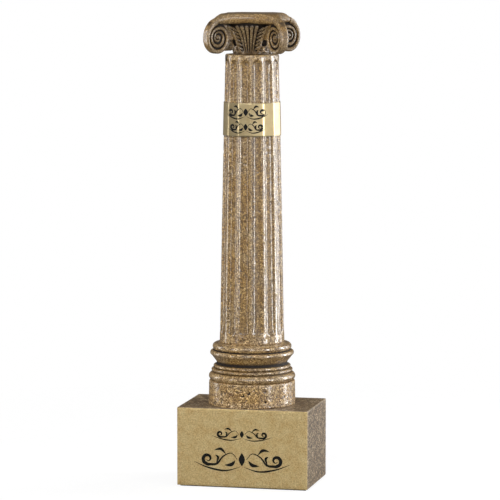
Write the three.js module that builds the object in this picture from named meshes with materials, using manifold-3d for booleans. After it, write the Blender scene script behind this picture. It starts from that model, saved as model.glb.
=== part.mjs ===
// An Ionic column trophy: a fluted column with a four-cornered scroll capital on an oblong block.
// The castings are stacked on one tie rod. Millimetres, +Z up, origin at the middle of the underside,
// and the engraved front plate faces -Y.
import * as THREE from "three";
import { mergeVertices } from "three/addons/utils/BufferGeometryUtils.js";
import Module from "manifold-3d";

const wasm = await Module();
wasm.setup();

// ---- driving dimensions ----
const BASE_WIDTH = 82.5;
const BASE_DEPTH = 56; // block, tape and front plate together
const FELT_THICKNESS = 0.75;
const FELT_INSET = 1.5;
const BLOCK_TOP = 49.5;
const DRUM_RADIUS = 26.9; // at its foot, just inside the block's front edge
const DRUM_TOP = 64.25;
const MOULDING_TOP = 87.75;
const SHAFT_TOP = 266.25;
const CAPITAL_TOP = 291.5;

const PLATE_THICKNESS = 0.75;
const TAPE_THICKNESS = 0.25;
const PLATE_MARGIN = 0.25;

const SHAFT_FOOT_RADIUS = 20.1;
const SHAFT_HEAD_RADIUS = 16.55;
const ENTASIS = 0.2; // how far the shaft's side bows out beyond a straight taper
const FLUTES = 14;
const FLUTE_SHARE = 0.8; // of the pitch, the rest is the fillet between two flutes
const FLUTE_DEPTH = 1.35;
const FLUTE_BOTTOM = MOULDING_TOP + 6;
const FLUTE_TOP = SHAFT_TOP - 3;
const FLUTE_END = 3.2; // height of a flute's rounded end
const SHAFT_TURN = -0.04; // radians that the flutes stand turned from the block's front

const BAND_BOTTOM = 216.5;
const BAND_HEIGHT = 20.5;
const BAND_THICKNESS = 0.25;
const BAND_TAPE_THICKNESS = 0.12;
const BAND_GAP = 0.05; // clearance under the tape and under the band
const BAND_OPENING = 0.12; // radians between the band's two ends, at the back

const VOLUTE_EYE = { out: 27, up: 277.25 }; // distance from the axis along a diagonal, and height
// A scroll's outer edge: its distance from the eye at each eighth turn from the top, outwards and down.
const SCROLL_EDGE = [13.5, 10.3, 8, 9, 10.1, 10.2, 10.6, 11.8];
const SCROLL_THICKNESS = 6.8;
const SCROLL_TURNS = 2.1; // of the groove carved in each scroll face
const GROOVE_WIDTH = 1.7;
const GROOVE_DEPTH = 1.1;
const ABACUS_HEIGHT = 6.25;
const CAPITAL_TURN = 0.052; // radians that the capital stands turned from the block
const BELL_FOOT_RADIUS = 12.2;
const BELL_HEAD_RADIUS = 16.6;
const LEAF_RIB_DEPTH = 1.2;

const ROD_RADIUS = 3;
const ROD_BOTTOM = 3.5;
const ROD_TOP = SHAFT_TOP + 11;
const ROD_BORE_RADIUS = 3.6;
const COUNTERBORE_RADIUS = 10;
const COUNTERBORE_TOP = 14;
const INSERT_RADIUS = 4.5;
const INSERT_LENGTH = 12;
const PIN_RADIUS = 1.5;
const PIN_LENGTH = 8;
const PIN_CLEARANCE = 0.15;
const PIN_CIRCLE = 8.5; // distance of every locating pin from the axis

const TAU = 2 * Math.PI;

// ---- geometry helpers ----

// A closed geometry as a manifold-3d solid.
function toSolid(geometry) {
  const bare = geometry.clone();
  bare.deleteAttribute("normal");
  bare.deleteAttribute("uv");
  const merged = mergeVertices(bare, 1e-4);
  return new wasm.Manifold(
    new wasm.Mesh({
      numProp: 3,
      vertProperties: new Float32Array(merged.attributes.position.array),
      triVerts: new Uint32Array(merged.index.array),
    }),
  );
}

// A manifold-3d solid as a flat-shaded geometry.
function toGeometry(solid) {
  const mesh = solid.getMesh();
  const geometry = new THREE.BufferGeometry();
  geometry.setAttribute("position", new THREE.BufferAttribute(new Float32Array(mesh.vertProperties), 3));
  geometry.setIndex(new THREE.BufferAttribute(new Uint32Array(mesh.triVerts), 1));
  const flat = geometry.toNonIndexed();
  flat.computeVertexNormals();
  return flat;
}

function cut(geometry, ...tools) {
  const solid = tools.reduce((left, tool) => left.subtract(toSolid(tool)), toSolid(geometry));
  return toGeometry(solid);
}

// An upright cylinder between two heights.
function upright(radius, bottom, top, segments = 24) {
  const cylinder = new THREE.CylinderGeometry(radius, radius, top - bottom, segments);
  return cylinder.rotateX(Math.PI / 2).translate(0, 0, (bottom + top) / 2);
}

// A body of revolution about Z from [radius, height] points, listed from the bottom up on its outside.
function turned(profile, segments) {
  const points = profile.map(([radius, height]) => new THREE.Vector2(radius, height));
  return new THREE.LatheGeometry(points, segments).rotateX(Math.PI / 2);
}

// A box given by its lowest and highest corners.
function block([x0, y0, z0], [x1, y1, z1]) {
  const box = new THREE.BoxGeometry(x1 - x0, y1 - y0, z1 - z0);
  return box.translate((x0 + x1) / 2, (y0 + y1) / 2, (z0 + z1) / 2);
}

// A column between the first and last of some heights, whose radius follows radiusAt(angle, height).
function carvedColumn(heights, segments, radiusAt) {
  const rows = heights.length - 1;
  const column = new THREE.CylinderGeometry(1, 1, rows, segments, rows);
  column.rotateX(Math.PI / 2).translate(0, 0, rows / 2);
  const place = column.attributes.position;
  for (let i = 0; i < place.count; i++) {
    const height = heights[Math.round(place.getZ(i))];
    const onAxis = Math.hypot(place.getX(i), place.getY(i)) < 0.5;
    const step = Math.round((Math.atan2(place.getY(i), place.getX(i)) / TAU) * segments);
    const angle = (step * TAU) / segments;
    const radius = onAxis ? 0 : radiusAt(angle, height);
    place.setXYZ(i, radius * Math.cos(angle), radius * Math.sin(angle), height);
  }
  return column;
}

// The short way round between an angle and the nearest multiple of a pitch.
function fromNearest(angle, pitch) {
  return angle - Math.round(angle / pitch) * pitch;
}

// Where a locating pin stands, at an angle on the pin circle.
function pinPlace(angle) {
  return [PIN_CIRCLE * Math.cos(angle), PIN_CIRCLE * Math.sin(angle)];
}

// The hole for half a locating pin, reaching to one side of a joint.
function pinHole(angle, joint, side) {
  const reach = joint + side * (PIN_LENGTH / 2 + 2 * PIN_CLEARANCE);
  const hole = upright(PIN_RADIUS + PIN_CLEARANCE, Math.min(joint - 0.5, reach), Math.max(joint + 0.5, reach), 12);
  return hole.translate(...pinPlace(angle), 0);
}

// ---- the four joints of the stack, each with its locating pin's angle ----
const JOINTS = {
  drum: { height: BLOCK_TOP, angle: 0 },
  moulding: { height: DRUM_TOP, angle: TAU / 4 },
  shaft: { height: MOULDING_TOP, angle: TAU / 2 },
  capital: { height: SHAFT_TOP, angle: (3 * TAU) / 4 },
};

const holeAbove = ({ height, angle }) => pinHole(angle, height, 1);
const holeBelow = ({ height, angle }) => pinHole(angle, height, -1);
const rodBore = (bottom, top) => upright(ROD_BORE_RADIUS, bottom - 1, top + 1);

// ---- base: felt, block, tape and front plate ----

const blockFront = -BASE_DEPTH / 2 + PLATE_THICKNESS + TAPE_THICKNESS;

function feltPad() {
  const x = BASE_WIDTH / 2 - FELT_INSET;
  return block([-x, blockFront + FELT_INSET, 0], [x, BASE_DEPTH / 2 - FELT_INSET, FELT_THICKNESS]);
}

function baseBlock() {
  const x = BASE_WIDTH / 2;
  const body = block([-x, blockFront, FELT_THICKNESS], [x, BASE_DEPTH / 2, BLOCK_TOP]);
  const counterbore = upright(COUNTERBORE_RADIUS, 0, COUNTERBORE_TOP, 32);
  return cut(body, counterbore, rodBore(COUNTERBORE_TOP, BLOCK_TOP), holeBelow(JOINTS.drum));
}

// A sheet on the block's front face, between two distances in front of it.
function frontSheet(margin, near, far) {
  const x = BASE_WIDTH / 2 - margin;
  return block([-x, blockFront - far, FELT_THICKNESS + margin], [x, blockFront - near, BLOCK_TOP - margin]);
}

// ---- column: drum, moulded base, shaft ----

function plinthDrum() {
  const bevel = 0.25;
  const body = turned(
    [
      [0, BLOCK_TOP],
      [DRUM_RADIUS, BLOCK_TOP],
      [DRUM_RADIUS - 0.2, DRUM_TOP - 1.2],
      [DRUM_RADIUS - 0.5, DRUM_TOP - bevel],
      [26, DRUM_TOP],
      [0, DRUM_TOP],
    ],
    48,
  );
  return cut(body, rodBore(BLOCK_TOP, DRUM_TOP), holeAbove(JOINTS.drum), holeBelow(JOINTS.moulding));
}

// Points along a part of a circle or ellipse, for a moulding's rounded member.
function bulge(centreRadius, centreHeight, out, up, from, to, steps) {
  return Array.from({ length: steps + 1 }, (_, i) => {
    const angle = ((from + ((to - from) * i) / steps) * Math.PI) / 180;
    return [centreRadius + out * Math.cos(angle), centreHeight + up * Math.sin(angle)];
  });
}

function columnMoulding() {
  const height = MOULDING_TOP - DRUM_TOP;
  const profile = [
    [0, 0],
    [26, 0],
    ...bulge(24.2, 2.5, 2.7, 2.6, -55, 75, 4), // lower torus
    [24.6, 5.5], // groove
    ...bulge(24.4, 6.65, 0.8, 0.8, -50, 50, 2), // lower bead
    [23.3, 7.65],
    ...bulge(23.1, 8.85, 0.8, 0.9, -50, 60, 2), // upper bead
    [22.4, 10.35],
    [22.3, 11.25], // neck
    [23.9, 13.6], // flared cup
    [25.3, 15.6],
    ...bulge(24.9, 17.2, 1.1, 1.5, -25, 70, 3), // cup rim
    [24, 18.9], // groove
    ...bulge(22.4, 21.1, 2.05, 2.1, -55, 85, 4), // upper torus
    [21.5, height],
    [0, height],
  ];
  const body = turned(profile, 48).translate(0, 0, DRUM_TOP);
  return cut(body, rodBore(DRUM_TOP, MOULDING_TOP), holeAbove(JOINTS.moulding), holeBelow(JOINTS.shaft));
}

// The shaft's radius over its fillets at a height.
function shaftRadius(height) {
  const share = (height - MOULDING_TOP) / (SHAFT_TOP - MOULDING_TOP);
  const straight = SHAFT_FOOT_RADIUS + (SHAFT_HEAD_RADIUS - SHAFT_FOOT_RADIUS) * share;
  return straight + ENTASIS * Math.sin(Math.PI * share);
}

// How deep the flutes are cut at an angle and height: hollows with rounded ends.
function fluteDepth(angle, height) {
  const pitch = TAU / FLUTES;
  const fromEnd = Math.min(height - FLUTE_BOTTOM, FLUTE_TOP - height) / FLUTE_END;
  if (fromEnd <= 0) return 0;
  const opening = Math.sqrt(1 - (1 - Math.min(1, fromEnd)) ** 2);
  const across = fromNearest(angle - pitch / 2, pitch) / ((pitch * FLUTE_SHARE) / 2) / opening;
  return Math.abs(across) < 1 ? FLUTE_DEPTH * opening * Math.sqrt(1 - across ** 2) : 0;
}

function shaft() {
  const ends = [0, 0.1, 0.35, 1].map((share) => share * FLUTE_END);
  const heights = [
    MOULDING_TOP,
    ...ends.map((rise) => FLUTE_BOTTOM + rise),
    MOULDING_TOP + (BAND_BOTTOM - MOULDING_TOP) * 0.7,
    BAND_BOTTOM,
    ...ends.map((drop) => FLUTE_TOP - drop).reverse(),
    SHAFT_TOP,
  ];
  const body = carvedColumn(heights, FLUTES * 10, (angle, height) => shaftRadius(height) - fluteDepth(angle, height));
  body.rotateZ(SHAFT_TURN);
  return cut(body, rodBore(MOULDING_TOP, SHAFT_TOP), holeAbove(JOINTS.shaft), holeBelow(JOINTS.capital));
}

// A thin strip wrapped round the shaft, with its ends a little apart at the back.
function wrap(clearance, thickness) {
  const middle = BAND_BOTTOM + BAND_HEIGHT / 2;
  const inner = shaftRadius(middle) + clearance;
  const start = Math.PI / 2 + BAND_OPENING / 2;
  const end = start + TAU - BAND_OPENING;
  const outline = new THREE.Shape();
  outline.absarc(0, 0, inner + thickness, start, end, false);
  outline.absarc(0, 0, inner, end, start, true);
  const strip = new THREE.ExtrudeGeometry(outline, { depth: BAND_HEIGHT, bevelEnabled: false, curveSegments: 56 });
  strip.translate(0, 0, BAND_BOTTOM);
  const place = strip.attributes.position;
  for (let i = 0; i < place.count; i++) {
    const taper = (shaftRadius(place.getZ(i)) - shaftRadius(middle)) / inner + 1;
    place.setXY(i, place.getX(i) * taper, place.getY(i) * taper);
  }
  return strip;
}

// ---- capital: leafed bell, roll-edged abacus and four scrolls on the diagonals ----

// The bell's radius, with upright ribs that gather on each of its four sides.
function bellRadius(angle, height) {
  const share = (height - SHAFT_TOP) / (CAPITAL_TOP - ABACUS_HEIGHT - SHAFT_TOP);
  const smooth = BELL_FOOT_RADIUS + (BELL_HEAD_RADIUS - BELL_FOOT_RADIUS) * share ** 2;
  const fromSide = fromNearest(angle, TAU / 4);
  const leaf = Math.max(0, Math.cos((fromSide * Math.PI) / 1.3));
  const rib = 0.5 + 0.5 * Math.cos(fromSide * 24);
  return smooth + LEAF_RIB_DEPTH * leaf * (0.6 + 0.8 * rib * Math.sin(Math.PI * Math.min(1, share + 0.15)));
}

function bell() {
  const heights = [0, 0.2, 0.45, 0.7, 0.9, 1].map(
    (share) => SHAFT_TOP + share * (CAPITAL_TOP - ABACUS_HEIGHT + 1 - SHAFT_TOP),
  );
  return carvedColumn(heights, 80, bellRadius);
}

// The abacus in plan: four sides that curve in between the scrolls.
function abacus() {
  const tip = VOLUTE_EYE.out - 1; // the corner's distance along the diagonal
  const half = SCROLL_THICKNESS / 2 - 1;
  const hollow = 18.2; // the middle of a side, from the axis
  const outline = new THREE.Shape();
  for (let side = 0; side < 4; side++) {
    const turn = (side * TAU) / 4;
    const at = (x, y) => [x * Math.cos(turn) - y * Math.sin(turn), x * Math.sin(turn) + y * Math.cos(turn)];
    const corner = (tip - half) / Math.SQRT2;
    const inner = (tip + half) / Math.SQRT2;
    if (side === 0) outline.moveTo(...at(-corner, -inner));
    else outline.lineTo(...at(-corner, -inner));
    outline.bezierCurveTo(...at(-hollow * 0.62, -hollow), ...at(hollow * 0.62, -hollow), ...at(corner, -inner));
  }
  outline.closePath();
  const roll = 1.6;
  const slab = new THREE.ExtrudeGeometry(outline, {
    depth: ABACUS_HEIGHT - 2 * roll,
    bevelThickness: roll,
    bevelSize: 1,
    bevelSegments: 2,
    curveSegments: 8,
  });
  return slab.translate(0, 0, CAPITAL_TOP - ABACUS_HEIGHT + roll);
}

function scrollBody() {
  const roundness = 0.8;
  const points = SCROLL_EDGE.map((reach, eighth) => {
    const angle = Math.PI / 2 - (eighth * TAU) / 8;
    const inner = reach - roundness;
    return new THREE.Vector2(inner * Math.cos(angle), inner * Math.sin(angle));
  });
  const edge = new THREE.SplineCurve([...points, points[0]]);
  const outline = new THREE.Shape(edge.getPoints(26).slice(0, -1));
  return new THREE.ExtrudeGeometry(outline, {
    depth: SCROLL_THICKNESS - 2 * roundness,
    bevelThickness: roundness,
    bevelSize: roundness,
    bevelSegments: 1,
  }).translate(0, 0, -SCROLL_THICKNESS / 2 + roundness);
}

// The groove that winds from under the abacus into the eye, as a cutter for one face.
function spiralGroove() {
  const steps = 26;
  const outside = 6.9;
  const inside = 1.7;
  const centre = Array.from({ length: steps + 1 }, (_, i) => {
    const share = i / steps;
    const angle = Math.PI / 2 - SCROLL_TURNS * TAU * share;
    const reach = outside + (inside - outside) * share;
    return { angle, reach, width: GROOVE_WIDTH * (1 - 0.5 * share) };
  });
  const edge = (side) =>
    centre.map(
      ({ angle, reach, width }) =>
        new THREE.Vector2(
          (reach + (side * width) / 2) * Math.cos(angle),
          (reach + (side * width) / 2) * Math.sin(angle),
        ),
    );
  const outline = new THREE.Shape([...edge(1), ...edge(-1).reverse()]);
  return new THREE.ExtrudeGeometry(outline, { depth: GROOVE_DEPTH + 1, bevelEnabled: false });
}

// One scroll standing on the diagonal at an angle, with a groove in each face.
function scroll(angle) {
  const front = spiralGroove().translate(0, 0, SCROLL_THICKNESS / 2 - GROOVE_DEPTH);
  const back = spiralGroove().translate(0, 0, -SCROLL_THICKNESS / 2 - 1);
  const carved = cut(scrollBody(), front, back);
  const out = new THREE.Vector3(Math.cos(angle), Math.sin(angle), 0);
  const up = new THREE.Vector3(0, 0, 1);
  const across = new THREE.Vector3().crossVectors(out, up);
  const place = new THREE.Matrix4().makeBasis(out, up, across);
  const eye = out.clone().multiplyScalar(VOLUTE_EYE.out).setZ(VOLUTE_EYE.up);
  return carved.applyMatrix4(place.setPosition(eye));
}

function capital() {
  const scrolls = [1, 3, 5, 7].map((eighth) => toSolid(scroll((eighth * TAU) / 8)));
  const top = block([-40, -40, CAPITAL_TOP], [40, 40, CAPITAL_TOP + 10]);
  const joined = scrolls.reduce((left, right) => left.add(right), toSolid(bell()).add(toSolid(abacus())));
  const insertPocket = upright(INSERT_RADIUS, SHAFT_TOP - 1, SHAFT_TOP + INSERT_LENGTH + 0.25);
  const turnedBody = toGeometry(joined).rotateZ(CAPITAL_TURN);
  return cut(turnedBody, top, insertPocket, holeAbove(JOINTS.capital));
}

// ---- hardware on the axis ----

function tieRod() {
  const chamfer = 0.75;
  return turned(
    [
      [0, ROD_BOTTOM],
      [ROD_RADIUS - chamfer, ROD_BOTTOM],
      [ROD_RADIUS, ROD_BOTTOM + chamfer],
      [ROD_RADIUS, ROD_TOP - chamfer],
      [ROD_RADIUS - chamfer, ROD_TOP],
      [0, ROD_TOP],
    ],
    24,
  );
}

// A ring of hardware round the rod.
function ring(radius, bottom, top, segments) {
  return cut(upright(radius, bottom, top, segments), upright(ROD_RADIUS + 0.1, bottom - 1, top + 1));
}

function threadedInsert() {
  const grooved = [
    [0, SHAFT_TOP],
    [INSERT_RADIUS - 0.1, SHAFT_TOP],
    [INSERT_RADIUS - 0.1, SHAFT_TOP + 5],
    [INSERT_RADIUS - 0.6, SHAFT_TOP + 5.25],
    [INSERT_RADIUS - 0.6, SHAFT_TOP + 6.75],
    [INSERT_RADIUS - 0.1, SHAFT_TOP + 7],
    [INSERT_RADIUS - 0.1, SHAFT_TOP + INSERT_LENGTH],
    [0, SHAFT_TOP + INSERT_LENGTH],
  ];
  return cut(turned(grooved, 24), upright(ROD_RADIUS + 0.1, SHAFT_TOP - 1, SHAFT_TOP + INSERT_LENGTH + 1));
}

// A spring lock washer: a ring with a slanted split.
function lockWasher(bottom, top) {
  const split = new THREE.BoxGeometry(4, 0.7, 6).rotateX(0.5).translate(4.6, 0, (bottom + top) / 2);
  return cut(ring(5.4, bottom, top, 24), split);
}

function locatingPin({ height, angle }) {
  const pin = upright(PIN_RADIUS, height - PIN_LENGTH / 2, height + PIN_LENGTH / 2, 12);
  return pin.translate(...pinPlace(angle), 0);
}

const WASHER_THICKNESS = 1.5;
const LOCK_WASHER_THICKNESS = 1.5;
const NUT_HEIGHT = 5;
const WASHER_BOTTOM = COUNTERBORE_TOP - WASHER_THICKNESS;
const LOCK_WASHER_BOTTOM = WASHER_BOTTOM - LOCK_WASHER_THICKNESS;
const NUT_BOTTOM = LOCK_WASHER_BOTTOM - NUT_HEIGHT;
const NUT_CORNER_RADIUS = 5.77;

// ---- finishes ----

const finish = (color, roughness, metalness) => ({ color, roughness, metalness });
const STONE = finish(0x9c8460, 0.5, 0);
const GOLD = finish(0xb39b6e, 0.35, 0.9);
const TAPE = finish(0xd8d4c8, 0.8, 0);
const FELT = finish(0x1d2a1f, 1, 0);
const STEEL = finish(0x9a9c9e, 0.35, 1);
const BRASS = finish(0xb59a55, 0.35, 1);

// ---- assembly ----

const trophy = new THREE.Group();

function place(name, geometry, look) {
  const mesh = new THREE.Mesh(geometry, new THREE.MeshStandardMaterial(look));
  mesh.name = name;
  trophy.add(mesh);
}

place("felt_pad", feltPad(), FELT);
place("base_block", baseBlock(), STONE);
place("front_plate_tape", frontSheet(1, 0, TAPE_THICKNESS), TAPE);
place("front_plate", frontSheet(PLATE_MARGIN, TAPE_THICKNESS, TAPE_THICKNESS + PLATE_THICKNESS), GOLD);
place("plinth_drum", plinthDrum(), STONE);
place("column_moulding", columnMoulding(), STONE);
place("fluted_shaft", shaft(), STONE);
place("band_tape", wrap(BAND_GAP, BAND_TAPE_THICKNESS), TAPE);
place("shaft_band", wrap(2 * BAND_GAP + BAND_TAPE_THICKNESS, BAND_THICKNESS), GOLD);
place("capital", capital(), STONE);
place("tie_rod", tieRod(), STEEL);
place("capital_insert", threadedInsert(), BRASS);
place("flat_washer", ring(8.5, WASHER_BOTTOM, COUNTERBORE_TOP, 32), STEEL);
place("lock_washer", lockWasher(LOCK_WASHER_BOTTOM, WASHER_BOTTOM), STEEL);
place("rod_nut", ring(NUT_CORNER_RADIUS, NUT_BOTTOM, LOCK_WASHER_BOTTOM, 6), STEEL);
for (const [name, joint] of Object.entries(JOINTS)) place(`${name}_locating_pin`, locatingPin(joint), STEEL);

export default trophy;
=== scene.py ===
"""An Ionic column trophy in cast stone with engraved gold plates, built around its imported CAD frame.

Shapes are worked out in millimetres in the frame's axes, and meshes are made in metres.
"""

import math

import bpy
import numpy as np
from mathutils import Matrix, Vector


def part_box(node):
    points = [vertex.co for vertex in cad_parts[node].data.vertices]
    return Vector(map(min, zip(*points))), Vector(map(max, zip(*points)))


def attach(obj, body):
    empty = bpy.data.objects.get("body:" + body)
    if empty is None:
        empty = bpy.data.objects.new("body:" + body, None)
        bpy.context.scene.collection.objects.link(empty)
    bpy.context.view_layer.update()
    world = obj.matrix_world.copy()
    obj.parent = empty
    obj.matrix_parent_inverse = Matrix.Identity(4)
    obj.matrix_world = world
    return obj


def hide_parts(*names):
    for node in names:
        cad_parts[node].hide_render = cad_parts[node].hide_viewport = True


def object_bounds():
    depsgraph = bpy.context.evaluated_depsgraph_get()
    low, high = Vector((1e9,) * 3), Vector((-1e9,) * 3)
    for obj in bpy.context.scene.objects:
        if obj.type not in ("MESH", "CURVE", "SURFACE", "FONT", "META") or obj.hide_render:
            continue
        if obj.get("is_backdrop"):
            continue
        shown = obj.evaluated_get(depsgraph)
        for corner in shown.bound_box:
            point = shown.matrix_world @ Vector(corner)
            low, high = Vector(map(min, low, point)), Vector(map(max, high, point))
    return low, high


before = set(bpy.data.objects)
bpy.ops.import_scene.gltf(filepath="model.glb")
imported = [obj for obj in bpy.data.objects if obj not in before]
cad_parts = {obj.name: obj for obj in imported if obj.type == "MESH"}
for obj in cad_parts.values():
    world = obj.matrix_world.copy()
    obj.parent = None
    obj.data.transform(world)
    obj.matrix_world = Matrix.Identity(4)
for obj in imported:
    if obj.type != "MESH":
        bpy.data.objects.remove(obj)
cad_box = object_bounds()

import openvdb
from mathutils import Vector

MM = 0.001
TAU = 2 * math.pi


def span(node):
    """A CAD node's lowest and highest corners in millimetres."""
    low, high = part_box(node)
    return np.array(low) / MM, np.array(high) / MM


BLOCK_LOW, BLOCK_HIGH = span("base_block")
PLATE_LOW, PLATE_HIGH = span("front_plate")
FELT_LOW, FELT_HIGH = span("felt_pad")
BAND_LOW, BAND_HIGH = span("shaft_band")
BLOCK_TOP = BLOCK_HIGH[2]
DRUM_TOP = span("plinth_drum")[1][2]
DRUM_RADIUS = span("plinth_drum")[1][0]
MOULDING_TOP = span("column_moulding")[1][2]
SHAFT_TOP = span("fluted_shaft")[1][2]
CAPITAL_TOP = span("capital")[1][2]

# The stack's bore and pin holes, as in the CAD.
BORE_RADIUS = 3.6
COUNTERBORE_RADIUS = 10.0
COUNTERBORE_TOP = span("flat_washer")[1][2]
PIN_HOLE_RADIUS = 1.65
PIN_HOLE_DEPTH = 4.3
PIN_CIRCLE = 8.5
PIN_ANGLES = {"drum": 0, "moulding": TAU / 4, "shaft": TAU / 2, "capital": 3 * TAU / 4}


# ---- camera ----

VIEW_AZIMUTH = math.radians(13.03)  # to the right of the front
VIEW_ELEVATION = math.radians(6.22)
VIEW_DISTANCE = 2.0  # metres, as the next two are
VIEW_HEIGHT = 0.145
VIEW_LEFT = 0.00129
LENS = 232.56


def make_camera():
    right = Vector((math.cos(VIEW_AZIMUTH), math.sin(VIEW_AZIMUTH), 0))
    back = Vector((math.sin(VIEW_AZIMUTH), -math.cos(VIEW_AZIMUTH), math.tan(VIEW_ELEVATION))).normalized()
    target = Vector((0, 0, VIEW_HEIGHT)) - right * VIEW_LEFT
    lens = bpy.data.cameras.new("camera")
    lens.lens = LENS
    camera = bpy.data.objects.new("camera", lens)
    camera.location = target + back * VIEW_DISTANCE
    camera.rotation_euler = back.to_track_quat("Z", "Y").to_euler()
    bpy.context.scene.collection.objects.link(camera)
    bpy.context.scene.camera = camera


# ---- numeric helpers ----

LATTICE = np.random.default_rng(7).uniform(-1, 1, (64, 64, 64)).astype(np.float32)
SHIFT_CELLS = 7.31  # between two fields of noise whose shifts differ by one


def blended(values, base, part):
    """A grid's values inside some cells, blended between each cell's eight corners."""
    total = 0
    for corner in range(8):
        offset = np.array([corner & 1, corner >> 1 & 1, corner >> 2 & 1])
        weight = np.prod(np.where(offset, part, 1 - part), axis=-1)
        index = (base + offset) % values.shape
        total = total + weight * values[index[..., 0], index[..., 1], index[..., 2]]
    return total


def noise(points, size, shift=0.0):
    """A smooth random field from -1 to 1 at points in millimetres, with blobs of one size."""
    cell = np.asarray(points, float) / size + shift * SHIFT_CELLS + 1000
    base = np.floor(cell).astype(int)
    part = cell - base
    return blended(LATTICE, base, part * part * (3 - 2 * part))


def through(values, place):
    """A smooth curve through equally spaced values, read at places counted from 0."""
    values = np.asarray(values, float)
    place = np.clip(place, 0, len(values) - 1)
    left = np.minimum(place.astype(int), len(values) - 2)
    t = place - left
    before = values[np.maximum(left - 1, 0)]
    a, b = values[left], values[left + 1]
    after = values[np.minimum(left + 2, len(values) - 1)]
    slope_a, slope_b = (b - before) / 2, (after - a) / 2
    return (
        a * (2 * t**3 - 3 * t**2 + 1)
        + slope_a * (t**3 - 2 * t**2 + t)
        + b * (3 * t**2 - 2 * t**3)
        + slope_b * (t**3 - t**2)
    )


def smooth_step(edge_a, edge_b, value):
    """0 at edge_a and 1 at edge_b, with a soft start and end."""
    t = np.clip((value - edge_a) / (edge_b - edge_a), 0, 1)
    return t * t * (3 - 2 * t)


def smooth_min(a, b, blend):
    """The lower of two distance fields, with the crease between them filled."""
    share = np.clip(0.5 + 0.5 * (b - a) / blend, 0, 1)
    return b + (a - b) * share - blend * share * (1 - share)


def spread(low, high, step):
    """Evenly spaced values from low to high, no more than a step apart."""
    return np.linspace(low, high, max(2, int(math.ceil((high - low) / step)) + 1))


# ---- mesh helpers ----


def make_piece(name, points, faces, smooth=True):
    """A mesh object from points in millimetres."""
    mesh = bpy.data.meshes.new(name)
    mesh.from_pydata((np.asarray(points, float) * MM).tolist(), [], [list(face) for face in faces])
    mesh.validate()
    mesh.shade_smooth() if smooth else mesh.shade_flat()
    piece = bpy.data.objects.new(name, mesh)
    bpy.context.scene.collection.objects.link(piece)
    return piece


def ring_faces(rows, steps, closed=True):
    """Quads between neighbouring rings of points."""
    row, step = np.meshgrid(np.arange(rows - 1), np.arange(steps if closed else steps - 1), indexing="ij")
    after = (step + 1) % steps
    corners = (row * steps + step, row * steps + after, (row + 1) * steps + after, (row + 1) * steps + step)
    return np.stack(corners, -1).reshape(-1, 4).tolist()


def by_rows(radii, heights):
    """Ring radii as one row for each height."""
    return np.asarray(radii, float).reshape(len(heights), -1)


def ring_points(radii, heights, steps):
    """Points on rings round the axis, as rows x steps x 3."""
    angle = np.arange(steps) * TAU / steps
    radii = np.broadcast_to(by_rows(radii, heights), (len(heights), steps))
    z = np.broadcast_to(np.asarray(heights, float)[:, None], radii.shape)
    return np.stack([radii * np.cos(angle), radii * np.sin(angle), z], -1)


def turned(name, radii, heights, steps):
    """A closed solid whose rings have radii (rows x steps, or rows) at heights (rows)."""
    points = ring_points(radii, heights, steps).reshape(-1, 3)
    points = np.vstack([points, [0, 0, heights[0]], [0, 0, heights[-1]]])
    rows = len(heights)
    low, high = rows * steps, rows * steps + 1
    last = (rows - 1) * steps
    faces = ring_faces(rows, steps)
    faces += [[low, (i + 1) % steps, i] for i in range(steps)]
    faces += [[high, last + i, last + (i + 1) % steps] for i in range(steps)]
    return make_piece(name, points, faces)


def rod(radius, bottom, top, x=0.0, y=0.0, steps=48):
    """A plain upright cylinder used as a cutter."""
    tool = turned("cutter", [radius, radius], [bottom, top], steps)
    tool.location = (x * MM, y * MM, 0)
    return tool


CUTTER_OVERLAP = 1.0  # past a flat face


def carve(piece, *tools):
    """Cuts each tool out of a piece and removes the tools."""
    bpy.context.view_layer.update()
    for tool in tools:
        cut = piece.modifiers.new("cut", "BOOLEAN")
        cut.operation = "DIFFERENCE"
        cut.solver = "MANIFOLD"
        cut.object = tool
    settle(piece)
    for tool in tools:
        bpy.data.objects.remove(tool)


def settle(piece):
    """Applies a piece's modifiers to its mesh."""
    graph = bpy.context.evaluated_depsgraph_get()
    done = bpy.data.meshes.new_from_object(piece.evaluated_get(graph))
    piece.modifiers.clear()
    piece.data = done


def rod_bore(bottom, top):
    """A cutter for the tie rod's bore."""
    return rod(BORE_RADIUS, bottom - CUTTER_OVERLAP, top + CUTTER_OVERLAP)


def pin_hole(joint, height, side):
    """A cutter for one half of a locating pin, above or below a joint."""
    x = PIN_CIRCLE * math.cos(PIN_ANGLES[joint])
    y = PIN_CIRCLE * math.sin(PIN_ANGLES[joint])
    ends = sorted((height - side * CUTTER_OVERLAP, height + side * PIN_HOLE_DEPTH))
    return rod(PIN_HOLE_RADIUS, *ends, x, y, 32)


def vertex_normals(piece):
    return np.array([normal.vector for normal in piece.data.vertex_normals])


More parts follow.
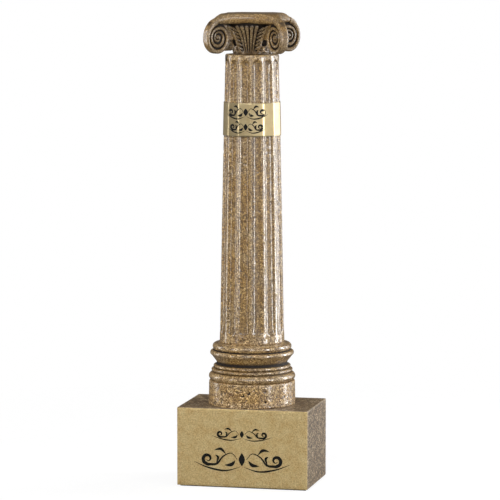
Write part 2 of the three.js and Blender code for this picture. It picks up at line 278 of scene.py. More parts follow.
def mark_hollows(piece, rounds_far=24, strength=1.0, cavity=0.0, limit=1.0):
    """Stores how far each point lies below its surroundings, in millimetres, for the materials' dark glaze
    and painted shade in hollows and pits, and their pale edges from wear and painted highlight.

    The surroundings are the mesh averaged twice for "pits" and rounds_far times for "hollows", which are also
    scaled by a strength and have a piece's own cavity added.
    """
    mesh = piece.data
    points = np.empty(len(mesh.vertices) * 3, np.float32)
    mesh.vertices.foreach_get("co", points)
    points = points.reshape(-1, 3) / MM
    normals = vertex_normals(piece).astype(np.float32)
    edges = np.empty(len(mesh.edges) * 2, np.int32)
    mesh.edges.foreach_get("vertices", edges)
    a, b = edges[0::2], edges[1::2]
    count = len(points)
    links = np.maximum(np.bincount(a, minlength=count) + np.bincount(b, minlength=count), 1)
    level = points.astype(float)
    done = 0
    for name, rounds, share, extra in (("pits", 2, 1.0, 0.0), ("hollows", rounds_far, strength, cavity)):
        while done < rounds:
            total = [np.bincount(a, axis[b], count) + np.bincount(b, axis[a], count) for axis in level.T]
            level = np.stack(total, -1) / links[:, None]
            done += 1
        depth = ((level - points) * normals).sum(1) * share + extra
        depth = np.minimum(depth, limit).astype(np.float32)
        mesh.attributes.new(name, "FLOAT", "POINT").data.foreach_set("value", depth)


# ---- stone shapes ----

RING_STEPS = 360  # points round the drum and the moulding
TEXTURE_FADE = 0.5  # height over which the texture fades in from a flat end


def weathered(points, strength, pits):
    """How far cast stone stands out from its true surface: swelling and grit less air bubbles' pits."""
    swell = 0.5 * noise(points, 5.0) + 0.5 * noise(points, 2.4, 1)
    grit = 0.6 * noise(points, 1.3, 2) + 0.4 * noise(points, 0.8, 3)
    holes = smooth_step(0.42, 0.8, noise(points, 1.25, 4)) * smooth_step(-0.4, 0.5, noise(points, 4.0, 5))
    return strength * (0.05 * swell + 0.07 * grit) - pits * 0.3 * holes


def weathered_rings(radii, heights, steps, strength, pits):
    """Ring radii with the stone's texture added, fading out at the flat ends."""
    heights = np.asarray(heights, float)
    ends = np.minimum(heights - heights[0], heights[-1] - heights)
    fade = smooth_step(0, TEXTURE_FADE, ends)[:, None]
    return by_rows(radii, heights) + fade * weathered(ring_points(radii, heights, steps), strength, pits)


def arc(centre_radius, centre_height, out, up, start, end, steps):
    """Points along a part of an ellipse, in degrees from straight out."""
    angle = np.radians(np.linspace(start, end, steps + 1))
    return list(zip(centre_radius + out * np.cos(angle), centre_height + up * np.sin(angle)))


def along(profile, step):
    """A profile's radii and heights again, about a step apart."""
    profile = np.array(profile)
    lengths = np.hypot(*np.diff(profile, axis=0).T)
    travel = np.concatenate([[0], np.cumsum(lengths)])
    at = np.unique(np.concatenate([travel, spread(0, travel[-1], step)]))
    at = at[np.concatenate([[True], np.diff(at) > step * 0.3])]
    at[-1] = travel[-1]
    return np.interp(at, travel, profile[:, 0]), np.interp(at, travel, profile[:, 1])


def turned_stone(name, profile, step, strength, pits):
    """A weathered solid from a profile of radii and heights."""
    radii, heights = along(profile, step)
    return turned(name, weathered_rings(radii, heights, RING_STEPS, strength, pits), heights, RING_STEPS)


def make_drum():
    """A plain disc with a nick in its rounded upper edge."""
    edge = 0.7
    profile = [
        (DRUM_RADIUS - 0.15, BLOCK_TOP),
        (DRUM_RADIUS, BLOCK_TOP + 0.3),
        (DRUM_RADIUS - 0.2, DRUM_TOP - 2),
        *arc(DRUM_RADIUS - 0.3 - edge, DRUM_TOP - edge, edge, edge - 0.05, 0, 80, 5),
        (DRUM_RADIUS - 1.9, DRUM_TOP),
    ]
    drum = turned_stone("drum", profile, 0.42, strength=1.3, pits=2.0)
    nick = turned("nick", [0.25, 0.6], [DRUM_TOP - 1.1, DRUM_TOP + 0.5], 12)
    nick.location = (0, -(DRUM_RADIUS - 0.4) * MM, 0)
    pins = pin_hole("drum", BLOCK_TOP, 1), pin_hole("moulding", DRUM_TOP, -1)
    carve(drum, nick, rod_bore(BLOCK_TOP, DRUM_TOP), *pins)
    mark_hollows(drum)
    return drum


def make_moulding():
    """The turned foot of the column."""
    base = DRUM_TOP
    profile = [
        (25.0, base),
        *arc(24.2, base + 2.6, 2.65, 2.5, -62, 78, 16),  # lower torus
        (24.35, base + 5.35),
        *arc(24.35, base + 6.6, 0.85, 0.85, -62, 62, 8),  # lower bead
        (23.1, base + 7.7),
        *arc(23.1, base + 8.9, 0.85, 0.9, -58, 65, 8),  # upper bead
        (22.3, base + 10.0),
        (21.8, base + 10.7),
        (21.9, base + 11.4),
        (22.6, base + 12.5),  # flared cup
        (23.9, base + 14.1),
        (25.0, base + 15.6),
        *arc(24.75, base + 17.1, 1.25, 1.5, -28, 78, 10),  # cup rim
        (23.9, base + 18.75),
        *arc(22.3, base + 21.05, 2.2, 2.2, -50, 86, 14),  # upper torus
        (21.3, MOULDING_TOP - 0.28),
        (20.6, MOULDING_TOP),
    ]
    moulding = turned_stone("moulding", profile, 0.4, strength=0.85, pits=0.5)
    pins = pin_hole("moulding", DRUM_TOP, 1), pin_hole("shaft", MOULDING_TOP, -1)
    carve(moulding, rod_bore(DRUM_TOP, MOULDING_TOP), *pins)
    mark_hollows(moulding, rounds_far=60, strength=0.7)
    return moulding


SHAFT_FOOT_RADIUS = 20.1
SHAFT_HEAD_RADIUS = 16.55
ENTASIS = 0.2  # how much the shaft swells halfway up
FLUTES = 14
FLUTE_PITCH = TAU / FLUTES
FLUTE_HALF = FLUTE_PITCH * 0.4  # half of a flute's width, as an angle
FLUTE_DEPTH = 1.45
FLUTE_END_DEPTH = 0.7  # share of that depth at a flute's ends
FLUTE_BOTTOM = MOULDING_TOP + 5.4
FLUTE_TOP = SHAFT_TOP - 2.9
FLUTE_ARCH = 3.1  # height of a flute's rounded end
SHAFT_TURN = -0.04  # radians from the block's front
SHAFT_STEPS = 25 * FLUTES
RIM_ROUND = 0.35  # how far the shaft's ends are rounded off
CHIP_OUT = 16.0  # from the axis to the chip in the upper rim
CHIP_TURN = 0.45  # radians from the column's left towards its front
CHIP_RADII = (0.6, 2.3, 2.9, 2.2)
CHIP_DEPTHS = (4.6, 2.9, 1.2, -0.5)  # below the shaft's top, one for each radius


def shaft_radius(height):
    share = (height - MOULDING_TOP) / (SHAFT_TOP - MOULDING_TOP)
    straight = SHAFT_FOOT_RADIUS + (SHAFT_HEAD_RADIUS - SHAFT_FOOT_RADIUS) * share
    return straight + ENTASIS * np.sin(np.pi * share)


def from_flute(angle):
    """How far angles are from the middle of the nearest flute."""
    off = angle - SHAFT_TURN - FLUTE_PITCH / 2
    return np.abs(off - np.round(off / FLUTE_PITCH) * FLUTE_PITCH)


def fluted(angle, height):
    """How deep the flutes are cut at angles and heights."""
    off = from_flute(angle) / FLUTE_HALF
    from_end = np.minimum(height - FLUTE_BOTTOM, FLUTE_TOP - height)
    rise = np.clip(from_end / FLUTE_ARCH, 0, 1)
    gone = np.hypot(off, 1 - rise)  # 1 on the flute's outline, 0 along its middle
    hollow = np.clip(1 - gone**2.6, 0, 1) ** 0.62  # nearly an ellipse
    eased = FLUTE_END_DEPTH + (1 - FLUTE_END_DEPTH) * smooth_step(0, 3 * FLUTE_ARCH, from_end)
    return FLUTE_DEPTH * eased * hollow


def make_shaft():
    """The tapering shaft, whose flutes waver a little."""
    heights = spread(MOULDING_TOP, SHAFT_TOP, 0.47)
    plain = shaft_radius(heights)
    angle = np.arange(SHAFT_STEPS) * TAU / SHAFT_STEPS
    waver = 0.004 * noise(ring_points(plain, heights, SHAFT_STEPS), 9.0, 6)
    radii = plain[:, None] - fluted(angle[None, :] + waver, heights[:, None])
    rim = smooth_step(0.9, 0, np.minimum(heights - MOULDING_TOP, SHAFT_TOP - heights))[:, None]
    radii = weathered_rings(radii, heights, SHAFT_STEPS, strength=1.0, pits=0.7) - RIM_ROUND * rim
    shaft = turned("shaft", radii, heights, SHAFT_STEPS)
    chip = turned("chip", CHIP_RADII, [SHAFT_TOP - depth for depth in CHIP_DEPTHS], 9)
    chip.location = (-CHIP_OUT * MM * math.cos(CHIP_TURN), -CHIP_OUT * MM * math.sin(CHIP_TURN), 0)
    pins = pin_hole("shaft", MOULDING_TOP, 1), pin_hole("capital", SHAFT_TOP, -1)
    carve(shaft, chip, rod_bore(MOULDING_TOP, SHAFT_TOP), *pins)
    mark_hollows(shaft, rounds_far=40, strength=0.7, limit=0.13)
    return shaft


def rounded_box(name, low, high, radius, step, texture=None):
    """A box with rounded edges as an even grid of quads, with an optional texture."""
    lines = []  # the grid's places along each axis
    for axis in range(3):
        edge = radius * np.array([0, 0.3, 0.65])
        inner = spread(low[axis] + radius, high[axis] - radius, step)
        lines.append(np.concatenate([low[axis] + edge, inner, (high[axis] - edge)[::-1]]))
    points, faces, index = [], [], {}

    def corner(i, j, k):
        if (i, j, k) not in index:
            index[i, j, k] = len(points)
            points.append((lines[0][i], lines[1][j], lines[2][k]))
        return index[i, j, k]

    for axis in range(3):
        u, v = (axis + 1) % 3, (axis + 2) % 3
        for end in (0, len(lines[axis]) - 1):
            for i in range(len(lines[u]) - 1):
                for j in range(len(lines[v]) - 1):
                    quad = []
                    for du, dv in ((0, 0), (1, 0), (1, 1), (0, 1)):
                        place = [0, 0, 0]
                        place[axis], place[u], place[v] = end, i + du, j + dv
                        quad.append(corner(*place))
                    faces.append(quad if end else quad[::-1])
    points = np.array(points)
    core = np.clip(points, low + radius, high - radius)
    away = points - core
    normals = away / np.linalg.norm(away, axis=1, keepdims=True)
    points = core + normals * radius
    if texture:
        points = points + normals * texture(points)[:, None]
    return make_piece(name, points, faces)


def make_block():
    """The base block, with a fine grain and a few pits."""

    def texture(points):
        grain = 0.5 * noise(points, 1.4, 8) + 0.5 * noise(points, 3.6, 9)
        return 0.04 * grain - 0.1 * smooth_step(0.55, 0.9, noise(points, 1.5, 10)) - 0.05

    block = rounded_box("block", BLOCK_LOW, BLOCK_HIGH, 0.6, 0.75, texture)
    counterbore = rod(COUNTERBORE_RADIUS, 0, COUNTERBORE_TOP, steps=64)
    carve(block, counterbore, rod_bore(COUNTERBORE_TOP, BLOCK_TOP), pin_hole("drum", BLOCK_TOP, -1))
    mark_hollows(block)
    return block


# ---- capital ----

VOXEL = 0.28
REACH = 28.2  # past the scrolls along either axis
FAR_OFF = 9.0  # a distance past which a field's value doesn't count
BELL_FOOT = 11.2  # the bell's radius at the shaft
BELL_HEAD = 16.4  # and under the abacus
BELL_MEAN = 14.0  # radius at which the bell's leaves are laid out
ABACUS_FOOT = CAPITAL_TOP - 6.2
ABACUS_OUT = 18.4
ABACUS_FLARE = 2.9  # how much further out it stands near the scrolls
FLARE_REACH = 16.9  # from a side's middle to there
SQUARENESS = 9  # power of the superellipse of the abacus's plan
ROLL_RADIUS = 2.75  # of the abacus's rounded side
ROLL_FALL = 0.031  # how fast it curves down towards a corner
ROLL_START = 9.0  # how far inside a scroll's eye it starts to
EYE_OUT = 27.0  # a scroll's eye along the diagonal
EYE_UP = CAPITAL_TOP - 14.25
CORNER_OUT = 4.5  # how far past the eye the abacus ends
SQUEEZE = 0.86  # a scroll's width over its height
CAPITAL_TURN = 0.052  # radians from the block's front

# The scroll's ribbon, from the abacus over the top, outwards and down to the eye: its outer edge at each
# eighth of a turn, and its width and half thickness at each quarter.
RIBBON_EDGE = (
    (11.2, 9.6, 9.2, 9.7, 10.0, 9.95, 9.6, 8.0)
    + (6.1, 5.9, 6.0, 6.2, 6.4, 6.3, 5.9, 4.7)
    + (3.5, 3.2, 3.1, 3.1, 3.1, 2.9, 2.6, 1.9, 1.2)
)
RIBBON_WIDTH = (3.9, 2.4, 2.4, 2.5, 1.9, 1.9, 1.9, 1.8, 1.3, 1.3, 1.3, 1.2, 0.8)
RIBBON_HALF = (3.1, 3.0, 2.9, 2.8, 2.6, 2.5, 2.4, 2.4, 2.3, 2.3, 2.2, 2.1, 2.0)
WEB_HALF = 1.0  # half thickness of the web between the ribbon's turns
SCROLL_EYE = 1.35
BRACE_UP = EYE_UP + 4.5  # middle of the web from the scroll to the bell
BRACE_HALF = 6.5

POCKET_RADIUS = 4.5  # round the threaded insert
POCKET_TOP = span("capital_insert")[1][2] + 0.25

# The leaves, laid out by s round the bell, z up from its foot and d out of it.
PALMETTE = ((1.45, 0.8, 0.1), (1.75, 6.0, 1.1), (2.05, 12.0, 1.7), (2.3, 17.3, 3.3))  # s is from rib to rib
PALMETTE_SIZES = (0.45, 0.6, 0.75, 0.9)
STEM = ((6.4, 1.2, 0.2), (8.2, 6.5, 1.2), (9.1, 12.0, 2.0), (9.6, 17.4, 3.4))
STEM_SIZES = (0.5, 0.65, 0.75, 0.8)
VEINS = 6
VEIN_FOOT, VEIN_PITCH = 5.6, 2.25
VEIN_SIZES = (0.6, 0.75, 0.5)
BUD_AT, BUD_UP = 8.6, 3.4
BUD_RING, BUD_RIM, BUD_HEART = 1.75, 0.62, 0.8


def rounded_corner(a, b, radius):
    """Distance to a rounded corner, given how far a point is past each face moved in by the radius."""
    return np.hypot(np.maximum(a, 0), np.maximum(b, 0)) + np.minimum(np.maximum(a, b), 0) - radius


def rounded_section(across, half_across, along_w, half_w, radius):
    """Distance to a rounded rectangle, given how far a point is from its middle both ways."""
    return rounded_corner(np.abs(across) - half_across + radius, np.abs(along_w) - half_w + radius, radius)


def scroll_field(u, v, w):
    """Distance to a corner scroll: u outwards from its eye, v up, w across the diagonal."""
    u = u / SQUEEZE
    reach = np.hypot(u, v)
    quarter = (np.arctan2(u, v) % TAU) / (TAU / 4)
    field = np.full(u.shape, FAR_OFF)
    for turn in range(3):
        place = quarter + 4 * turn
        width = through(RIBBON_WIDTH, place)
        middle = through(RIBBON_EDGE, 2 * place) - width / 2
        half = through(RIBBON_HALF, place)
        round_by = np.minimum(width / 2, 1.5) * 0.96
        ribbon = rounded_section(reach - middle, width / 2, w, half, round_by)
        field = smooth_min(field, ribbon, 0.25)
    web = np.maximum(reach - (through(RIBBON_EDGE, 2 * quarter) - 0.8), np.abs(w) - WEB_HALF)
    eye = np.sqrt(reach**2 + np.maximum(np.abs(w) - 1.0, 0) ** 2) - SCROLL_EYE
    field = smooth_min(field, np.minimum(web, eye), 0.2)
    return field * 0.9


def strand(s, z, d, points, widths):
    """Distance to a string of tapering rods through points given as (s, z, d)."""
    field = np.full(s.shape, FAR_OFF)
    for start, end, wide, narrow in zip(points[:-1], points[1:], widths[:-1], widths[1:]):
        step = np.array(end, float) - start
        share = sum((at - foot) * rise for at, foot, rise in zip((s, z, d), start, step)) / (step @ step)
        share = np.clip(share, 0, 1)
        gap = np.sqrt(sum((at - foot - share * rise) ** 2 for at, foot, rise in zip((s, z, d), start, step)))
        field = np.minimum(field, gap - (wide + (narrow - wide) * share))
    return field


def leaf_field(s, z, d):
    """Distance to the leaves on one half side of the bell, whose other half mirrors it."""
    field = np.full(s.shape, FAR_OFF)
    for rib in range(3):  # the middle palmette
        points = [(spacing * rib, up, out) for spacing, up, out in PALMETTE]
        field = smooth_min(field, strand(s, z, d, points, PALMETTE_SIZES), 0.1)
    field = smooth_min(field, strand(s, z, d, STEM, STEM_SIZES), 0.12)
    for vein in range(VEINS):  # slanting veins on the stem's inner side
        height = VEIN_FOOT + VEIN_PITCH * vein
        root = 7.9 + 0.13 * (height - VEIN_FOOT)
        inner = [(root, height, 1.5), (root - 2.1, height - 1.3, 1.7), (root - 3.3, height - 2.3, 0.9)]
        field = smooth_min(field, strand(s, z, d, inner, VEIN_SIZES), 0.12)
    from_bud = np.hypot(s - BUD_AT, z - BUD_UP)
    ring = np.hypot(from_bud - BUD_RING, d - 0.9) - BUD_RIM
    heart = np.hypot(from_bud, d - 1.1) - BUD_HEART
    return smooth_min(field, np.minimum(ring, heart), 0.15)


def bell_radius(z):
    """The bell's radius without its leaves."""
    rise = np.clip((z - SHAFT_TOP) / (ABACUS_FOOT - SHAFT_TOP), 0, 1)
    return BELL_FOOT + (BELL_HEAD - BELL_FOOT) * rise**2


def capital_field(x, y, z):
    """Distance to the capital in one quarter of its plan, where x and y are positive."""
    near, far = np.minimum(x, y), (x**SQUARENESS + y**SQUARENESS) ** (1 / SQUARENESS)
    reach = np.hypot(x, y)
    depth = reach - bell_radius(z)
    leaves = leaf_field(BELL_MEAN * np.arctan2(near, far), z - SHAFT_TOP, depth)
    bell = smooth_min(depth * 0.95, leaves, 0.3)

    u = (x + y) / math.sqrt(2) - EYE_OUT
    v = z - EYE_UP
    w = (x - y) / math.sqrt(2)

    top = CAPITAL_TOP - ROLL_FALL * np.maximum(u + ROLL_START, 0) ** 2
    half = np.maximum(top - ABACUS_FOOT, 0.5) / 2
    round_by = np.minimum(ROLL_RADIUS, half * 0.95)
    side = far - ABACUS_OUT - ABACUS_FLARE * (near / FLARE_REACH) ** 2
    past_side = np.maximum(side, u - CORNER_OUT) + round_by
    past_face = np.abs(z - top + half) - half + round_by
    abacus = rounded_corner(past_side, past_face, round_by)
    brace = rounded_section(w, WEB_HALF, z - BRACE_UP, BRACE_HALF, 0.5)
    brace = np.maximum(brace, np.maximum(u - 0.5, -u - EYE_OUT))
    scroll = smooth_min(scroll_field(u, v, w), brace, 0.3)
    whole = smooth_min(smooth_min(scroll, abacus, 0.9), bell, 0.3)
    return np.maximum(whole, z - CAPITAL_TOP)


def softened(values, cells):
    """A grid averaged three times over a cube of cells either way, mirrored at its first edges."""
    for axis in (0, 1, 2) * 3:
        pad = [(cells + 1, cells) if i == axis else (0, 0) for i in range(3)]
        total = np.cumsum(np.pad(values, pad, "reflect"), axis=axis)
        size = 2 * cells + 1
        ahead = np.take(total, np.arange(size, total.shape[axis]), axis=axis)
        behind = np.take(total, np.arange(0, total.shape[axis] - size), axis=axis)
        values = (ahead - behind) / size
    return values


def read_grid(values, cell):
    """A grid's values at places measured in cells, blended between its points."""
    base = np.clip(np.floor(cell).astype(int), 0, np.array(values.shape) - 2)
    return blended(values, base, cell - base)


def whole_capital(quarter, half, up):
    """The capital's field from one quarter's, with its flat foot and the hollows for its hardware."""
    pair = np.concatenate([quarter[:0:-1], quarter])
    field = np.concatenate([pair[:, :0:-1], pair], axis=1)
    both = np.concatenate([-half[:0:-1], half])
    x, y, z = np.meshgrid(both, both, up, indexing="ij")
    pocket = np.maximum(np.hypot(x, y) - POCKET_RADIUS, z - POCKET_TOP)
    pin_angle = PIN_ANGLES["capital"] - CAPITAL_TURN
    pin_reach = np.hypot(x - PIN_CIRCLE * math.cos(pin_angle), y - PIN_CIRCLE * math.sin(pin_angle))
    pin = np.maximum(pin_reach - PIN_HOLE_RADIUS, z - SHAFT_TOP - PIN_HOLE_DEPTH)
    return np.maximum(np.maximum(field, SHAFT_TOP - z), -np.minimum(pocket, pin))


def capital_painted_shade(points, normals, cavity):
    """How much deeper than the mesh shows each point is made to lie, as painted shade: in creases, in the
    scrolls' channels, on faces turned up, on the bell's head and under the abacus.
    """
    x, y, z = np.abs(points[:, 0]), np.abs(points[:, 1]), points[:, 2]
    out = np.hypot(x, y)
    reach = np.hypot(((x + y) / math.sqrt(2) - EYE_OUT) / SQUEEZE, z - EYE_UP)
    within = np.abs(x - y) / math.sqrt(2)
    # Painted shade in the scrolls' channels, next to the web.
    channel = smooth_step(2.3, 1.3, within) * smooth_step(9.6, 8.8, reach) * smooth_step(0.9, 1.7, reach)
    # Painted shade on faces turned up.
    on_top = smooth_step(0.8, 0.97, normals[:, 2])
    # Painted shade on the bell's head just under the abacus.
    on_bell = smooth_step(1.0, 0.2, out - bell_radius(z)) * smooth_step(11, 11.5, out)
    on_bell = on_bell * smooth_step(ABACUS_FOOT + 0.3, ABACUS_FOOT - 0.3, z)
    # Painted shade under the abacus: on faces turned down, and close round the bell.
    eaves = smooth_step(-0.25, -0.8, normals[:, 2]) + smooth_step(18.5, 17.0, out)
    eaves = eaves * smooth_step(ABACUS_FOOT + 2, ABACUS_FOOT + 1, z)
    eaves = eaves * smooth_step(ABACUS_FOOT - 2.6, ABACUS_FOOT - 0.6, z)
    return 1.6 * cavity + 0.35 * channel + 0.1 * on_top + 0.26 * on_bell + 0.35 * eaves


def make_capital():
    """The capital, meshed from its distance field, then turned and weathered."""
    half = np.arange(0, REACH, VOXEL)
    up = np.arange(SHAFT_TOP - 3 * VOXEL, CAPITAL_TOP + 12 * VOXEL, VOXEL)
    quarter = capital_field(*np.meshgrid(half, half, up, indexing="ij"))
    grid = openvdb.FloatGrid(2.0)
    grid.copyFromArray(np.clip(whole_capital(quarter, half, up) / VOXEL, -2, 2).astype(np.float32))
    points, quads = grid.convertToQuads(0.0)
    points = points * VOXEL + np.array([-half[-1], -half[-1], up[0]])
    # Painted shade in creases: how full the space round each point is, like ambient occlusion.
    filled = softened(np.clip(0.5 - quarter / VOXEL, 0, 1), 3)
    cavity = read_grid(filled, (np.abs(points) - [0, 0, up[0]]) / VOXEL) - 0.5

    cosine, sine = math.cos(CAPITAL_TURN), math.sin(CAPITAL_TURN)
    x, y, z = points.T
    placed = np.stack([x * cosine - y * sine, x * sine + y * cosine, z], -1)
    capital = make_piece("carved_capital", placed, quads[:, ::-1].tolist())
    normals = vertex_normals(capital)
    free = smooth_step(0.1, 0.8, z - SHAFT_TOP) * smooth_step(5.5, 7, np.hypot(x, y))
    moved = placed + normals * (free * weathered(placed, 0.7, 0.25) - 0.02)[:, None]
    moved[:, 2] = np.clip(moved[:, 2], SHAFT_TOP, CAPITAL_TOP)
    capital.data.vertices.foreach_set("co", (moved * MM).astype(np.float32).ravel())
    capital.data.update()
    # The capital's hollows carry its painted shade as well as its depth.
    mark_hollows(capital, rounds_far=12, strength=0.4, cavity=capital_painted_shade(points, normals, cavity))
    return capital


# ---- gold sheets, engraving and felt ----

BAND_CLEAR = 0.22  # from the shaft's fillets to the band's inner face
BAND_THICK = 0.25
BAND_OPENING = 0.12  # radians, at the back
BAND_FLATNESS = 0.85  # 0 for a round band, 1 for one flat across the flutes
BAND_BEND = math.radians(1.6)  # half of its bend round a fillet
BAND_MIDDLE = (BAND_LOW[2] + BAND_HIGH[2]) / 2
STROKE_END = 0.16  # share of a pen stroke's width left at its ends
ENGRAVING_HALF = 0.03  # half thickness


def band_surface(angle, height):
    """The band's outer radius: flat across each flute, bent over each fillet."""
    flat_half = FLUTE_PITCH / 2 - BAND_BEND
    full = shaft_radius(height) + BAND_CLEAR + BAND_THICK
    chord = full * np.cos(flat_half) / np.cos(np.minimum(from_flute(angle), flat_half))
    return full - BAND_FLATNESS * (full - chord)


def make_band():
    """A strip wrapped round the shaft, with its edges just broken."""
    start = TAU / 4 + BAND_OPENING / 2
    angle = np.linspace(start, start + TAU - BAND_OPENING, FLUTES * 16)
    heights = spread(BAND_LOW[2], BAND_HIGH[2], 0.8)
    around, up = np.meshgrid(angle, heights, indexing="ij")
    outer = band_surface(around, up)
    shell = []
    for radius, rows in ((outer, slice(None)), (outer - BAND_THICK, slice(None, None, -1))):
        surface = np.stack([radius * np.cos(around), radius * np.sin(around), up], -1)
        shell.append(surface[:, rows])
    rings = np.concatenate(shell, axis=1)
    count, length = rings.shape[0], rings.shape[1]
    faces = [face[::-1] for face in ring_faces(count, length)]
    faces.append(list(range(length)))
    faces.append([(count - 1) * length + i for i in range(length)][::-1])
    band = make_piece("band", rings.reshape(-1, 3), faces)
    edge = band.modifiers.new("edge", "BEVEL")
    edge.width = 0.04 * MM
    edge.segments = 1
    edge.limit_method = "ANGLE"
    edge.angle_limit = math.radians(60)
    settle(band)
    return band


def make_plate():
    return rounded_box("plate", PLATE_LOW, PLATE_HIGH, 0.12, 1.6)


def make_felt():
    def texture(points):
        return 0.05 * noise(points, 0.9, 11) - 0.05

    return rounded_box("felt", FELT_LOW, FELT_HIGH, 0.3, 0.9, texture)


def pen_stroke(points, width, samples=40):
    """The points and faces of a flat ribbon along a smooth curve, fine at its ends."""
    points = np.array(points, float)
    place = np.linspace(0, len(points) - 1, samples)
    x, y = through(points[:, 0], place), through(points[:, 1], place)
    slope = np.stack([np.gradient(x), np.gradient(y)], -1)
    slope /= np.linalg.norm(slope, axis=1, keepdims=True)
    side = np.stack([-slope[:, 1], slope[:, 0]], -1)
    share = np.linspace(0, 1, samples)
    half = width / 2 * (STROKE_END + (1 - STROKE_END) * np.sin(np.pi * share) ** 1.5)
    middle, side = np.stack([x, y], -1), side * half[:, None]
    edges = np.stack([middle - side, middle + side], 1).reshape(-1, 2)
    faces = [[2 * i, 2 * i + 2, 2 * i + 3, 2 * i + 1] for i in range(samples - 1)]
    return edges, faces


def curl(x, y, radius, start, turns, shrink=0.25):
    """Points of a spiral that winds in from a start angle in degrees."""
    share = np.linspace(0, 1, 9)
    angle = math.radians(start) + turns * TAU * share
    reach = radius * (1 - (1 - shrink) * share)
    return list(zip(x + reach * np.cos(angle), y + reach * np.sin(angle)))


def flourish(width, height, bold):
    """The strokes of a symmetrical pen ornament: lozenge, leaves, scrolls and a long underline."""
    a, b = width / 2, height / 2
    lozenge, arm, under, *leaves = (
        [(x * a, y * b) for x, y in points]
        for points in (
            ((0, 0.62), (0, 0.1), (0, -0.42)),
            ((0.1, 0.1), (0.22, 0.62), (0.4, 0.3), (0.52, -0.3), (0.68, -0.38)),
            ((0.04, -0.52), (0.35, -0.86), (0.7, -0.66), (1, -0.2)),
            ((0.14, 0), (0.22, -0.34), (0.36, -0.4)),
            ((0.34, 0.52), (0.44, 0.92), (0.58, 0.82)),
            ((0.54, -0.28), (0.5, 0.2), (0.56, 0.42)),
        )
    )
    arm += curl(0.72 * a, 0.08 * b, 0.46 * b, -90, 1.15)
    strokes = []
    for side in (1, -1):
        for points, size in zip((arm, under, *leaves), (0.11, 0.06, 0.11, 0.09, 0.08)):
            strokes.append(([(side * x, y) for x, y in points], size * height * bold))
    return strokes + [(lozenge, 0.2 * height * bold)]


def make_engraving(name, strokes, lay):
    """Engraved strokes as thin inlaid solids; lay(points) puts flat points (x, y, lift) in place."""
    points, faces, count = [], [], 0
    for path, width in strokes:
        edges, quads = pen_stroke(path, width)
        total = len(edges)
        for lift in (-ENGRAVING_HALF, ENGRAVING_HALF):
            points.append(lay(np.column_stack([edges, np.full(total, lift)])))
        flip = 1 if orient(edges, quads) > 0 else -1
        top = [[count + total + i for i in quad][::flip] for quad in quads]
        bottom = [[count + i for i in quad][::-flip] for quad in quads]
        rim = list(range(0, total, 2)) + list(range(total - 1, 0, -2))
        sides = [(count + here, count + after) for here, after in zip(rim, rim[1:] + rim[:1])]
        walls = [[here, after, total + after, total + here] for here, after in sides]
        faces += top + bottom + [wall[::flip] for wall in walls]
        count += 2 * total
    return make_piece(name, np.vstack(points), faces, smooth=False)


def orient(edges, quads):
    """Positive when a ribbon's quads run anticlockwise."""
    a, b, c, _ = (edges[[quad[i] for quad in quads]] for i in range(4))
    return float(np.sum((b - a)[:, 0] * (c - a)[:, 1] - (b - a)[:, 1] * (c - a)[:, 0]))


def on_plate(height):
    """Lays flat points on the front plate, centred at a height."""

    def lay(points):
        return np.column_stack([points[:, 0], PLATE_LOW[1] - points[:, 2], height + points[:, 1]])

    return lay


def on_band(height):
    """Wraps flat points round the band's front, centred at a height."""
    radius = shaft_radius(BAND_MIDDLE) + BAND_CLEAR + BAND_THICK

    def lay(points):
        angle = -TAU / 4 + points[:, 0] / radius
        up = height + points[:, 1]
        out = band_surface(angle, up) + points[:, 2]
        return np.column_stack([out * np.cos(angle), out * np.sin(angle), up])

    return lay


# ---- materials ----

NOISE_SPAN = (0.3, 0.7)  # where most of a noise texture's values lie
GRAIN_SIZE = 0.85  # of the stone's grit
# Pale edges from wear, partly painted highlight on ridges.
WORN_EDGE_AND_HIGHLIGHT = (0.44, 0.34, 0.21)
# Painted shade in small pits.
PAINTED_PIT_SHADE = (0.020, 0.011, 0.004)
# Amber and near-black glaze for the hollows, partly painted shade.
AMBER = (0.13, 0.068, 0.016)
GLAZE_AND_PAINTED_SHADE = (0.008, 0.004, 0.002)
NEUTRAL = (1.0, 1.0, 1.0)

# How dark or light each stone's grains are, over its tone.
STONE_GRIT = (0, (0.35, 0.29, 0.23)), (0.3, (0.85, 0.82, 0.78)), (0.7, (1.1, 1.1, 1.06)), (1, (1.8, 1.9, 2.1))
BLOCK_GRIT = (0, (0.25, 0.2, 0.17)), (0.3, (0.8, 0.78, 0.76)), (0.65, (1.1, 1.15, 1.2)), (1, (2.3, 2.6, 3.0))


def new_material(name, **surface):
    """A Principled material; each keyword sets the shader's socket of that name."""
    material = bpy.data.materials.new(name)
    material.use_nodes = True
    shader = material.node_tree.nodes["Principled BSDF"]
    for key, value in surface.items():
        shader.inputs[key.replace("_", " ").title().replace("Ior", "IOR")].default_value = value
    return material, material.node_tree, shader


def feed(tree, socket, value):
    """Links a node's output to a socket, or sets the socket to a value."""
    if isinstance(value, bpy.types.NodeSocket):
        tree.links.new(value, socket)
    else:
        socket.default_value = (*value, 1) if socket.type == "RGBA" else value


def node(tree, kind, inputs=None, **settings):
    made = tree.nodes.new("ShaderNode" + kind)
    for key, value in settings.items():
        setattr(made, key, value)
    for key, value in (inputs or {}).items():
        feed(tree, made.inputs[key], value)
    return made


def place_in(tree):
    return node(tree, "TexCoord").outputs["Object"]


def speckle(tree, size, detail=2.0, roughness=0.5, stretch=None):
    """Noise from 0 to 1 with blobs of a size in millimetres."""
    where = place_in(tree)
    if stretch:
        where = node(tree, "Mapping", {"Vector": where, "Scale": stretch}).outputs[0]
    settings = {"Vector": where, "Scale": 1 / (size * MM), "Detail": detail, "Roughness": roughness}
    return node(tree, "TexNoise", settings).outputs["Fac"]


